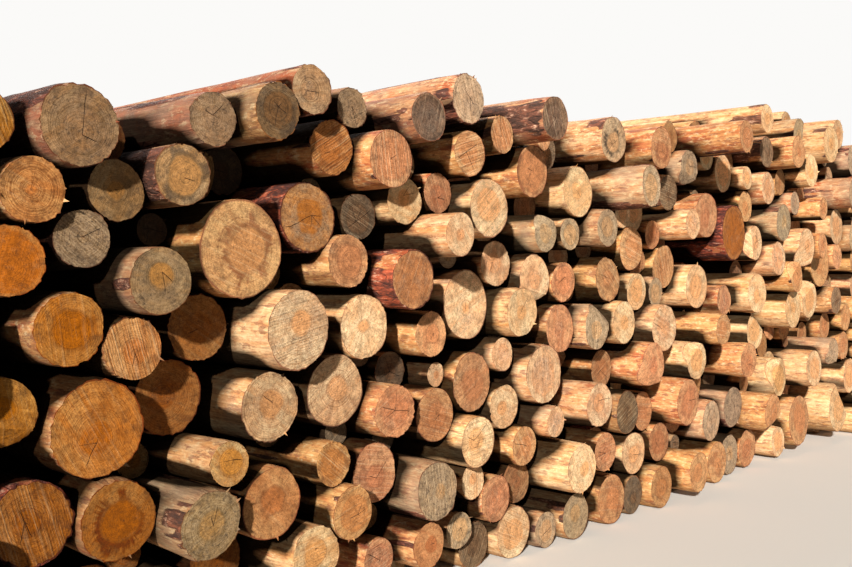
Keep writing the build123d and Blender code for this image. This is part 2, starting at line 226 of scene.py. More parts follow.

# Logs that stand out to the eye: where each front end lies along the heap and up in metres, then
# the share of its radius that is heart, how stained, how saw lined and how grey it is from 0 to 1,
# its brightness, its own tone and for some logs that lie in shadow also painted shade, and its
# tint, from about -1 for red through 0.5 for tan to 1.5 for yellow.
NAMED_LOGS = (
    (-3.21, 1.67, 0.44, 1.00, 0.40, 0.00, 1.34, 1.35),
    (-3.88, 2.09, 0.52, 0.20, 0.20, 0.50, 0.94, -0.6),
    (-3.40, 2.22, 0.40, 0.10, 0.30, 0.70, 1.00, -1.0),
    (-3.57, 1.56, 0.40, 0.50, 0.10, 0.55, 0.88, 0.45),
    (-3.83, 1.06, 0.36, 0.30, 0.45, 0.00, 1.08, 0.30),
    (-4.05, 0.74, 0.30, 0.20, 0.80, 0.00, 0.80, 0.00),
    (-2.92, 1.33, 0.30, 0.10, 0.80, 0.42, 1.15, 0.50),
    (-2.54, 1.29, 0.20, 0.00, 0.10, 0.00, 1.22, 0.60),
    (-2.64, 1.57, 0.62, 0.30, 0.20, 0.22, 1.10, 0.60),
    (-2.92, 1.08, 0.40, 0.10, 0.80, 0.30, 1.10, 0.50),
    (-1.84, 1.43, 0.20, 0.10, 0.50, 0.30, 1.12, 0.50),
    (-2.37, 2.10, 0.75, 0.20, 0.90, 0.00, 1.10, 0.40),
    (-1.54, 2.32, 0.80, 0.15, 1.00, 0.00, 1.10, 0.70),
    (-1.27, 2.13, 0.80, 0.95, 0.20, 0.10, 1.05, 0.60),
    (-1.65, 1.92, 0.58, 0.85, 0.20, 0.00, 1.10, 0.50),
    (-1.82, 2.45, 0.42, 0.10, 0.10, 0.50, 0.95, 0.50),
    (-3.36, 0.61, 0.34, 0.10, 0.20, 0.45, 1.05, 0.50),
    (-2.05, 0.50, 0.32, 0.60, 0.30, 0.50, 1.00, 0.60),
    (1.26, 1.86, 0.80, 0.10, 0.20, 0.00, 0.72, 0.00),
    (-2.87, 1.84, 0.50, 0.40, 0.30, 0.50, 0.92, 0.40),
    (-3.07, 0.70, 0.40, 0.20, 0.20, 0.05, 1.08, 0.40),
    (-2.72, 1.03, 0.35, 0.10, 0.60, 0.25, 1.10, 0.50),
    (-3.07, 1.03, 0.40, 0.30, 0.30, 0.30, 1.15, 0.50),
    (-1.79, 1.01, 0.55, 0.20, 0.60, 0.25, 0.98, 0.50),
    (-2.94, 2.34, 0.40, 0.10, 0.40, 0.35, 0.95, -1.0),
    (-0.45, 2.39, 0.45, 1.00, 0.10, 0.20, 1.15, 0.50),
    (-2.31, 1.55, 0.85, 0.20, 0.50, 0.00, 0.98, 0.30),
    (-0.94, 1.52, 0.70, 0.50, 0.10, 0.00, 1.10, 0.20),
    (-4.03, 1.87, 0.15, 0.10, 0.30, 0.00, 1.24, 0.50),
    (-4.10, 1.62, 0.85, 0.10, 0.15, 0.00, 1.08, 0.15),
    (-3.90, 1.40, 0.55, 0.40, 0.30, 0.15, 1.02, 0.40),
    (-3.87, 1.70, 0.10, 0.10, 0.85, 0.85, 1.28, 0.45),
    (-3.47, 1.95, 0.62, 0.80, 0.10, 0.25, 1.05, 0.45),
    (-3.72, 1.87, 0.30, 0.40, 0.20, 0.25, 0.88, 0.40),
    (-3.74, 0.70, 0.50, 1.00, 0.00, 0.00, 0.74, 0.25),
    (-3.65, 1.34, 0.40, 0.10, 0.90, 0.00, 1.18, 0.40),
)
NAMED_REACH = 0.1                       # how far from that place the log may lie


def laid_log(template, log, seed, bark_share, looks, heap):
    """The plain log laid on one log of the frame, with its own outline, dents, nicks and bark.

    Returns its points and what the materials read: the place across the grain, the ring that a
    point lies on with the radius and the log's own number, how much bark covers it, how deep it
    lies in the heap, which the materials paint as shade, and the log's own marks and tones, whose
    brightness also holds painted shade for logs near the eye.
    """
    front, back, front_radius, back_radius, front_out, back_out = log
    chance = random.Random(seed)
    own_number = chance.random()
    turn = chance.uniform(0, 2 * math.pi)
    across = template[:, 0] * math.cos(turn) - template[:, 2] * math.sin(turn)
    rise = template[:, 0] * math.sin(turn) + template[:, 2] * math.cos(turn)
    share = template[:, 1]
    ring = np.hypot(across, rise)
    angle = np.arctan2(rise, across)

    length = np.linalg.norm(back - front)
    along = (back - front) / length
    side = np.cross(along, (0, 0, 1))
    side /= np.linalg.norm(side)
    up = np.cross(side, along)
    radius = front_radius + (back_radius - front_radius) * share
    outline = np.ones(len(template))
    for waves, size in OUTLINE_WAVES:
        size *= chance.uniform(0.3, 1.7)
        start, twist = chance.uniform(0, 7), chance.uniform(-1, 1)
        outline += size * np.cos(waves * angle + start + twist * share)
    skin = ring > 0.99                      # points on the side, and not on a sawn end
    place = np.stack([np.cos(angle) * radius, share * length, np.sin(angle) * radius], axis=1)
    dents = cloudy(place * DENT_CELLS, seed) * DENT
    if front[2] > TOP_OF_HEAP:
        bark_share += TOP_BARK
    flakes = cloudy(place * FLAKE_CELLS, seed + 7) * 0.5 + cloudy(place * PATCH_CELLS, seed + 3)
    bark = np.clip((flakes + bark_share * 3 - 1.5) * 6, 0, 1)     # a share of 0.5 covers half
    plates = 0.7 + 0.3 * cloudy(place * PLATE_CELLS, seed + 5)
    at_edge = skin & ((share < 0.001) | (share > 0.999))
    torn = chance.uniform(0.4, 2.0)
    nicks = np.abs(cloudy(place * NICK_CELLS, seed + 9)) * RIM_CHIP * torn
    raised = BARK_THICKNESS * bark * plates - BARK_THICKNESS * BARK_INSET
    reach = radius * outline * ring
    reach += np.where(skin, dents + raised, 0) - np.where(at_edge, nicks, 0)
    pith_turn = chance.uniform(0, 2 * math.pi)
    pith_out = chance.uniform(0.02, LARGEST_PITH_OFFSET) * front_radius
    pith = np.array([math.cos(pith_turn), math.sin(pith_turn)]) * pith_out
    u = reach * np.cos(angle) + pith[0] * (1 - ring)
    v = reach * np.sin(angle) + pith[1] * (1 - ring)

    depth = share * length
    uneven = cloudy(place * END_DIP_CELLS, seed + 11) * END_DIP * (1 - ring ** 4)
    depth = depth + np.where((share < 0.001) | (share > 0.999), uneven, 0)
    named = [values for along_heap, height, *values in NAMED_LOGS
             if math.hypot(front[0] - along_heap, front[2] - height) < NAMED_REACH]
    if chance.random() < NOTCHED_SHARE and not named:
        past = np.clip(-NOTCH_CHORD - template[:, 0], 0, None) * front_radius * NOTCH_SLOPE
        near = share < 0.5
        depth = np.where(near & (past > 0), np.maximum(depth, past + 0.15 * depth), depth)
    placed = front + depth[:, None] * along + u[:, None] * side + v[:, None] * up
    for middle, out, toward in (
        (front, front_out, 1 - share / SLANT_ZONE),
        (back, back_out, 1 - (1 - share) / SLANT_ZONE),
    ):
        flat_place = placed - (depth - (0 if middle is front else length))[:, None] * along
        slope = ((flat_place - middle) @ out) / (along @ out)
        placed -= (slope * np.clip(toward, 0, 1))[:, None] * along
    placed[:, 2] = np.maximum(placed[:, 2], 0)          # the lowest logs lie flat on the floor

    heart = chance.uniform(0.3, 0.68)
    stained = chance.random() ** 1.5 * looks["stained"]
    lined = chance.random()
    bright = chance.uniform(0.86, 1.1)
    warm = chance.random()
    greyed = looks["greyed"] + chance.uniform(-0.16, 0.16)
    if named:
        heart, stained, lined, greyed, bright, warm = named[0]
    # Painted shade: logs nearer the eye are drawn darker, as they lie in more shade.
    bright *= NEAR_BRIGHTNESS + BRIGHTER_FAR * min(max((front[0] - SHADE_FROM) / SHADE_OVER, 0), 1)
    depth_shade = sheltered(log, placed, skin, heap)
    whole = np.ones(len(template))
    grain = np.stack([u - pith[0], v - pith[1], share * length], axis=1)
    growth = np.stack([ring, radius, whole * own_number], axis=1)
    marks = np.stack([whole * heart, whole * stained, whole * lined], axis=1)
    tones = np.stack([whole * bright, whole * warm, whole * greyed], axis=1)
    return placed, grain, growth, np.where(skin, bark, 0), depth_shade, marks, tones


SLIVERS = (0, 0, 1, 2, 3, 5)            # how many splinters stand out from a log's two rims
SLIVER_LENGTH = (0.006, 0.022)
SLIVER_HALF_WIDTH = (0.003, 0.008)
SLIVER_HALF_THICKNESS = 0.0015
SLIVER_ROOT = 0.004                     # how deep its foot sits in the log
SLIVER_LEAN = (0.1, 1.2)                # from straight outward towards along the log, in radians
SLIVER_SEEDS = 1000000                  # keeps their random draws apart from those of the logs


def slivers(laid, template, log, seed):
    """Splinters torn out at the rims of a log's two ends, each a small closed spike.

    Returns their points, their faces counted from 0, and the rim point that each point grew from.
    """
    front, back = log[:2]
    along = (back - front) / np.linalg.norm(back - front)
    rim = np.flatnonzero((np.hypot(template[:, 0], template[:, 2]) > 0.99)
                         & (np.abs(template[:, 1] - 0.5) > 0.499))
    chance = random.Random(seed + SLIVER_SEEDS)
    points, faces, roots = [], [], []
    for _ in range(chance.choice(SLIVERS)):
        root = rim[chance.randrange(len(rim))]
        foot = laid[0][root]
        at_front = template[root, 1] < 0.5
        out = foot - (front if at_front else back)
        out -= (out @ along) * along
        out /= np.linalg.norm(out)
        side = np.cross(out, along)
        lean = chance.uniform(*SLIVER_LEAN) * (-1 if at_front else 1)
        tip = math.cos(lean) * out + math.sin(lean) * along + chance.uniform(-0.5, 0.5) * side
        tip = foot + tip * chance.uniform(*SLIVER_LENGTH)
        half = chance.uniform(*SLIVER_HALF_WIDTH)
        if foot[2] < SLIVER_LENGTH[1]:
            continue                        # one there would stand in the ground
        first = len(points)
        for across, ahead in ((1, 1), (1, -1), (-1, -1), (-1, 1)):
            points.append(foot - out * SLIVER_ROOT + side * half * across
                          - along * SLIVER_HALF_THICKNESS * ahead)
        points.append(tip)
        roots += [root] * 5
        faces.append([first, first + 1, first + 2, first + 3])
        faces += [[first + (corner + 1) % 4, first + corner, first + 4] for corner in range(4)]
    return points, faces, roots


NEAR_LOGS = -1.5                        # logs that lie nearer to the eye get more points round


def heap_piece(name, node, near_model, far_model, seed, bark_share, looks, materials):
    """All logs of one node as one mesh, with the materials of sides and ends and what they read."""
    whole_heap = [log for logs in heap.values() for log in logs]
    laid, all_faces, is_sawn, count = [], [], [], 0
    for number, log in enumerate(heap[node]):
        template, faces, sawn = near_model if log[0][0] < NEAR_LOGS else far_model
        dressed = laid_log(template, log, seed + number, bark_share, looks, whole_heap)
        spikes, spike_faces, roots = slivers(dressed, template, log, seed + number)
        all_faces += [[corner + count for corner in face] for face in faces]
        count += len(template)
        all_faces += [[corner + count for corner in face] for face in spike_faces]
        count += len(spikes)
        is_sawn += sawn.tolist() + [False] * len(spike_faces)
        if spikes:
            dressed = [np.concatenate([column, column[roots]]) for column in dressed]
            dressed[0][-len(spikes):] = spikes
        laid.append(dressed)
    points = np.concatenate([part[0] for part in laid])
    mesh = bpy.data.meshes.new(name)
    mesh.from_pydata(points.tolist(), [], all_faces)
    titles = ("grain", "growth", "bark", "shelter", "marks", "tones")
    for column, title in enumerate(titles, start=1):
        values = np.concatenate([part[column] for part in laid]).astype(np.float32)
        kind = "FLOAT" if values.ndim == 1 else "FLOAT_VECTOR"
        attribute = mesh.attributes.new(title, kind, "POINT")
        attribute.data.foreach_set("value" if kind == "FLOAT" else "vector", values.ravel())
    for material in materials:
        mesh.materials.append(material)
    mesh.polygons.foreach_set("material_index", np.array(is_sawn, np.int32))
    piece = bpy.data.objects.new(name, mesh)
    bpy.context.scene.collection.objects.link(piece)
    bpy.ops.object.select_all(action="DESELECT")
    bpy.context.view_layer.objects.active = piece
    piece.select_set(True)
    bpy.ops.object.shade_smooth_by_angle(angle=math.radians(30))
    return piece


def add(tree, kind, inputs, **settings):
    """Adds a node with its settings and its input values or links, and returns its outputs."""
    node = tree.nodes.new("ShaderNode" + kind)
    for name, value in settings.items():
        setattr(node, name, value)
    for key, value in inputs.items():
        if isinstance(value, bpy.types.NodeSocket):
            tree.links.new(value, node.inputs[key])
        else:
            node.inputs[key].default_value = value
    return node.outputs


def empty_material(name):
    """A new material and its node tree, with nothing in it yet."""
    material = bpy.data.materials.new(name)
    material.use_nodes = True
    material.node_tree.nodes.clear()
    return material, material.node_tree


RING_SPACING = 0.0085                   # real rings are 2 to 5 mm; drawn coarser so that they show
SAW_PITCH = 0.011                       # chain saw lines on an end, drawn coarse so that they show


def sawn_wood(name, sap, heart, late, stain, grey, dirt, rim, cracked):
    """The sawn end of a log: growth rings round the pith, heart and sap wood, saw lines, checks."""
    material, tree = empty_material(name)
    grain, growth, marks, tones = (add(tree, "Attribute", {}, attribute_name=title)[1]
                                   for title in ("grain", "growth", "marks", "tones"))
    ring, radius, seed = add(tree, "SeparateXYZ", {0: growth})
    heart_share, stained, lined = add(tree, "SeparateXYZ", {0: marks})
    bright, warm, greyed = add(tree, "SeparateXYZ", {0: tones})
    apart = add(tree, "CombineXYZ", {0: seed, 1: seed, 2: seed})[0]
    place = add(tree, "VectorMath", {0: apart, 1: (31, 47, 59), 2: grain},
                operation="MULTIPLY_ADD")[0]
    own = add(tree, "TexWhiteNoise", {"W": seed}, noise_dimensions="1D")[1]
    own_ring, own_ray, own_line = add(tree, "SeparateColor", {0: own})
    # Clouds of 9 cm, tints 20 cm across, and torn fibre ends of 4 mm.
    cloud = add(tree, "TexNoise", {"Vector": place, "Scale": 11, "Detail": 3})[0]
    broad = add(tree, "TexNoise", {"Vector": place, "Scale": 5, "Detail": 2})[0]
    fine = add(tree, "TexNoise", {"Vector": place, "Scale": 230, "Detail": 3, "Roughness": 0.7})[0]

    # Growth rings: one band a year, some years darker than others.
    reach = add(tree, "Math", {0: ring, 1: radius}, operation="MULTIPLY")[0]
    years = add(tree, "Math", {0: reach, 1: 1 / RING_SPACING}, operation="MULTIPLY")[0]
    years = add(tree, "Math", {0: cloud, 1: 1.8, 2: years}, operation="MULTIPLY_ADD")[0]
    own_years = add(tree, "Math", {0: seed, 1: 300, 2: years}, operation="MULTIPLY_ADD")[0]
    strong = add(tree, "TexNoise", {"W": own_years, "Scale": 0.45, "Detail": 2},
                 noise_dimensions="1D")[0]
    phase = add(tree, "Math", {0: strong, 1: 2, 2: years}, operation="MULTIPLY_ADD")[0]
    phase = add(tree, "Math", {0: phase}, operation="FRACT")[0]
    rise = add(tree, "MapRange", {0: phase, 1: 0.3, 2: 0.85}, interpolation_type="SMOOTHSTEP")[0]
    fall = add(tree, "MapRange", {0: phase, 1: 1.0, 2: 0.9})[0]
    dark_year = add(tree, "MapRange", {0: strong, 1: 0.35, 2: 0.62, 3: 0.25, 4: 1.0})[0]
    latewood = add(tree, "Math", {0: rise, 1: fall}, operation="MULTIPLY")[0]
    latewood = add(tree, "Math", {0: latewood, 1: dark_year}, operation="MULTIPLY")[0]

    # Heart wood, with a darker line where it ends.
    edge = add(tree, "Math", {0: cloud, 1: 0.28, 2: -0.14}, operation="MULTIPLY_ADD")[0]
    edge = add(tree, "Math", {0: edge, 1: heart_share}, operation="ADD")[0]
    past = add(tree, "Math", {0: ring, 1: edge}, operation="SUBTRACT")[0]
    in_heart = add(tree, "MapRange", {0: past, 1: 0.05, 2: -0.07},
                   interpolation_type="SMOOTHSTEP")[0]
    near_edge = add(tree, "Math", {0: past}, operation="ABSOLUTE")[0]
    line_strength = add(tree, "MapRange", {0: own_line, 1: 0.3, 2: 1.0, 3: 0, 4: 0.4})[0]
    heart_line = add(tree, "MapRange", {0: near_edge, 1: 0.07, 2: 0.0, 3: 0, 4: line_strength})[0]

    # Rays from the pith outward, about 40 round it, and stains that run out along them beyond the
    # heart.
    flat = add(tree, "VectorMath", {0: grain, 1: (1, 1, 0)}, operation="MULTIPLY")[0]
    ray = add(tree, "VectorMath", {0: flat}, operation="NORMALIZE")[0]
    ray_place = add(tree, "VectorMath", {0: apart, 1: (13, 29, 7), 2: ray},
                    operation="MULTIPLY_ADD")[0]
    rays = add(tree, "TexNoise", {"Vector": ray_place, "Scale": 6, "Detail": 5,
                                  "Roughness": 0.7})[0]
    ragged = add(tree, "Math", {0: rays, 1: cloud}, operation="ADD")[0]
    spikes = add(tree, "MapRange", {0: ragged, 1: 0.82, 2: 1.2, 3: 0.02, 4: 0.4})[0]
    spike_foot = add(tree, "Math", {0: spikes, 1: 0.16}, operation="SUBTRACT")[0]
    outside = add(tree, "MapRange", {0: past, 1: -0.06, 2: 0.03})[0]
    inside = add(tree, "MapRange", {0: past, 1: spikes, 2: spike_foot})[0]
    star = add(tree, "Math", {0: outside, 1: inside}, operation="MULTIPLY")[0]
    blotch = add(tree, "MapRange", {0: cloud, 1: 0.34, 2: 0.56, 3: 0.15, 4: 1.0})[0]
    star = add(tree, "Math", {0: star, 1: blotch}, operation="MULTIPLY")[0]
    star = add(tree, "Math", {0: star, 1: stained}, operation="MULTIPLY")[0]

    # Saw lines across the whole end, each log in its own direction, and scratches 10 mm wide
    # along them, drawn as coarse as the lines are.
    turn = add(tree, "Math", {0: seed, 1: 40}, operation="MULTIPLY")[0]
    sawn = add(tree, "VectorRotate", {"Vector": flat, "Angle": turn}, rotation_type="Z_AXIS")[0]
    drawn = add(tree, "VectorMath", {0: sawn, 1: (1, 0.03, 0)}, operation="MULTIPLY")[0]
    drawn = add(tree, "VectorMath", {0: apart, 1: (17, 5, 3), 2: drawn},
                operation="MULTIPLY_ADD")[0]
    scores = add(tree, "TexNoise", {"Vector": drawn, "Scale": 95, "Detail": 3,
                                    "Roughness": 0.65})[0]
    scores = add(tree, "MapRange", {0: scores, 1: 0.3, 2: 0.7, 3: -1, 4: 1})[0]
    across = add(tree, "SeparateXYZ", {0: sawn})[0]
    waves = add(tree, "Math", {0: across, 1: 2 * math.pi / SAW_PITCH}, operation="MULTIPLY")[0]
    waves = add(tree, "Math", {0: broad, 1: 26, 2: waves}, operation="MULTIPLY_ADD")[0]
    waves = add(tree, "Math", {0: waves}, operation="SINE")[0]
    waves = add(tree, "Math", {0: waves, 1: lined}, operation="MULTIPLY")[0]
    scores = add(tree, "Math", {0: waves, 1: 0.35, 2: scores}, operation="MULTIPLY_ADD")[0]
    score_depth = add(tree, "MapRange", {0: lined, 3: 0.2, 4: 1.0})[0]
    scores = add(tree, "Math", {0: scores, 1: score_depth}, operation="MULTIPLY")[0]

    # Drying checks: thin dark lines along some rays, each of its own length.
    sight = add(tree, "SeparateXYZ", {0: flat})
    bearing = add(tree, "Math", {0: sight[1], 1: sight[0]}, operation="ARCTAN2")[0]
    bearing = add(tree, "Math", {0: cloud, 1: 0.35, 2: bearing}, operation="MULTIPLY_ADD")[0]
    own_bearing = add(tree, "Math", {0: seed, 1: 500, 2: bearing}, operation="MULTIPLY_ADD")[0]
    checks = add(tree, "TexVoronoi", {"W": own_bearing, "Scale": 1.3}, voronoi_dimensions="1D")
    from_pith = add(tree, "VectorMath", {0: flat}, operation="LENGTH")[1]
    off_check = add(tree, "Math", {0: checks[0], 1: from_pith}, operation="MULTIPLY")[0]
    check = add(tree, "MapRange", {0: off_check, 1: 0.002, 2: 0.0004})[0]
    check_own = add(tree, "SeparateColor", {0: checks[1]})
    check_end = add(tree, "MapRange", {0: check_own[0], 3: 0.1, 4: 0.95})[0]
    check_tip = add(tree, "Math", {0: check_end, 1: 0.12}, operation="SUBTRACT")[0]
    check_here = add(tree, "MapRange", {0: ring, 1: check_end, 2: check_tip})[0]
    check = add(tree, "Math", {0: check, 1: check_here}, operation="MULTIPLY")[0]
    check_open = add(tree, "MapRange", {0: check_own[1], 1: 1 - cracked, 2: 1.05 - cracked})[0]
    check = add(tree, "Math", {0: check, 1: check_open}, operation="MULTIPLY")[0]

    # Grey weathered skin in patches of 10 cm, broken up to 2 mm and thinner on the heart, with
    # dark mould specks of 13 mm and less in it.
    skin = add(tree, "TexNoise", {"Vector": place, "Scale": 10, "Detail": 6, "Roughness": 0.75})[0]
    skin = add(tree, "Math", {0: greyed, 1: 0.62, 2: skin}, operation="MULTIPLY_ADD")[0]
    grey_heart = add(tree, "MapRange", {0: warm, 1: 0.3, 2: 0.4, 3: 0.14, 4: -0.18})[0]
    skin = add(tree, "Math", {0: in_heart, 1: grey_heart, 2: skin}, operation="MULTIPLY_ADD")[0]
    skin = add(tree, "MapRange", {0: skin, 1: 0.66, 2: 0.98, 3: 0, 4: 0.85})[0]
    specks = add(tree, "TexNoise", {"Vector": place, "Scale": 75, "Detail": 3, "Roughness": 0.7})[0]
    specks = add(tree, "MapRange", {0: specks, 1: 0.53, 2: 0.64})[0]
    mouldy = add(tree, "MapRange", {0: skin, 3: 0.25, 4: 1.0})[0]
    specks = add(tree, "Math", {0: specks, 1: mouldy}, operation="MULTIPLY")[0]

    # Dirt and mould in clouds of 7 cm, broken up to 1 mm, that are thickest near the rim.
    mould = add(tree, "TexNoise", {"Vector": place, "Scale": 15, "Detail": 7, "Roughness": 0.78})[0]
    mould = add(tree, "Math", {0: ring, 1: 0.16, 2: mould}, operation="MULTIPLY_ADD")[0]
    mould = add(tree, "MapRange", {0: mould, 1: 0.63, 2: 0.75, 3: 0, 4: 0.6})[0]

    # Wood colours first, then smears, stain and grey skin, then dark and light along rings and saw
    # lines, and last specks, mould, rim, pith and checks. Smears are 4 cm wide and follow the saw
    # lines, and the torn grain is 12 mm wide.
    patches = add(tree, "MapRange", {0: broad, 1: 0.4, 2: 0.62, 3: 0, 4: 0.6})[0]
    patches = add(tree, "Math", {0: patches, 1: in_heart}, operation="MAXIMUM")[0]
    colour = add(tree, "Mix", {0: patches, 6: linear(sap), 7: linear(heart)}, data_type="RGBA")[2]
    smear = add(tree, "VectorMath", {0: sawn, 1: (1, 0.18, 0)}, operation="MULTIPLY")[0]
    smear = add(tree, "VectorMath", {0: apart, 1: (3, 11, 19), 2: smear},
                operation="MULTIPLY_ADD")[0]
    smear = add(tree, "TexNoise", {"Vector": smear, "Scale": 26, "Detail": 4, "Roughness": 0.7})[0]
    smeared = add(tree, "MapRange", {0: smear, 1: 0.46, 2: 0.66, 3: 0, 4: 0.7})[0]
    grainy = add(tree, "TexNoise", {"Vector": place, "Scale": 85, "Detail": 4,
                                    "Roughness": 0.75})[0]
    dark_grain = add(tree, "MapRange", {0: grainy, 1: 0.52, 2: 0.36, 3: 0, 4: 0.45})[0]
    ring_strength = add(tree, "MapRange", {0: own_ring, 3: 0.08, 4: 0.55})[0]
    ringed = add(tree, "Math", {0: latewood, 1: ring_strength}, operation="MULTIPLY")[0]
    ray_strength = add(tree, "MapRange", {0: own_ray, 1: 0.3, 2: 1.0, 3: 0.03, 4: 0.42})[0]
    rayed = add(tree, "MapRange", {0: rays, 1: 0.56, 2: 0.34, 3: 0.0, 4: ray_strength})[0]
    scratched = add(tree, "MapRange", {0: scores, 1: -0.1, 2: -1.3, 3: 0, 4: 0.5})[0]
    darker = dark_grain
    for line in (ringed, rayed, scratched, heart_line):
        darker = add(tree, "Math", {0: darker, 1: line}, operation="ADD", use_clamp=True)[0]
    depth = add(tree, "MapRange", {0: darker, 3: 1.04, 4: 0.74})[0]
    scored = add(tree, "MapRange", {0: scores, 1: 0.1, 2: 1.3, 3: 0, 4: 0.45})[0]
    specks = add(tree, "Math", {0: specks, 1: 0.75}, operation="MULTIPLY")[0]
    ragged_rim = add(tree, "Math", {0: cloud, 1: 0.05, 2: ring}, operation="MULTIPLY_ADD")[0]
    at_rim = add(tree, "MapRange", {0: ragged_rim, 1: 0.975, 2: 0.995, 3: 0, 4: 0.9})[0]
    pith = add(tree, "MapRange", {0: reach, 1: 0.006, 2: 0.002, 3: 0, 4: 0.6})[0]
    for share, tint in ((smeared, heart), (star, stain), (skin, grey), (darker, late),
                        (scored, "#f0d4a4"), (specks, "#463b32"), (mould, dirt), (at_rim, rim),
                        (pith, "#5b3a22"), (check, "#2c1a0e")):
        colour = add(tree, "Mix", {0: share, 6: colour, 7: linear(tint)}, data_type="RGBA")[2]

    # Painted shade where neighbours shelter the end, which lies set back behind them, then flecks
    # of torn fibre and a mottling of 36 mm.
    shelter = add(tree, "Attribute", {}, attribute_name="shelter")[2]
    painted_shade = add(tree, "MapRange", {0: shelter, 3: 1.0, 4: 0.25})[0]
    fleck = add(tree, "MapRange", {0: fine, 1: 0.3, 2: 0.7, 3: 0.72, 4: 1.3})[0]
    mottled = add(tree, "TexNoise", {"Vector": place, "Scale": 28, "Detail": 5,
                                     "Roughness": 0.7})[0]
    shade = add(tree, "MapRange", {0: mottled, 1: 0.34, 2: 0.64, 3: 0.78, 4: 1.22})[0]
    value = painted_shade
    for factor in (depth, fleck, shade, bright):
        value = add(tree, "Math", {0: value, 1: factor}, operation="MULTIPLY")[0]
    hue = add(tree, "MapRange", {0: warm, 1: 0, 2: 2, 3: 0.49, 4: 0.516})[0]
    vivid = add(tree, "MapRange", {0: bright, 1: 0.75, 2: 1.1, 3: 1.08, 4: 0.9})[0]
    colour = add(tree, "HueSaturation", {0: hue, "Saturation": vivid, "Value": value,
                                         "Color": colour})[0]

    height = 0.0
    for relief, share in ((latewood, 0.3), (scores, 0.7), (fine, 0.6), (cloud, 1.5), (check, -3.0)):
        height = add(tree, "Math", {0: relief, 1: share, 2: height}, operation="MULTIPLY_ADD")[0]
    bump = add(tree, "Bump", {"Strength": 0.8, "Distance": 0.0018, "Height": height})[0]
    shader = add(tree, "BsdfPrincipled", {"Base Color": colour, "Roughness": 0.85,
                                          "Specular IOR Level": 0.2, "Normal": bump})[0]
    add(tree, "OutputMaterial", {0: shader})
    return material


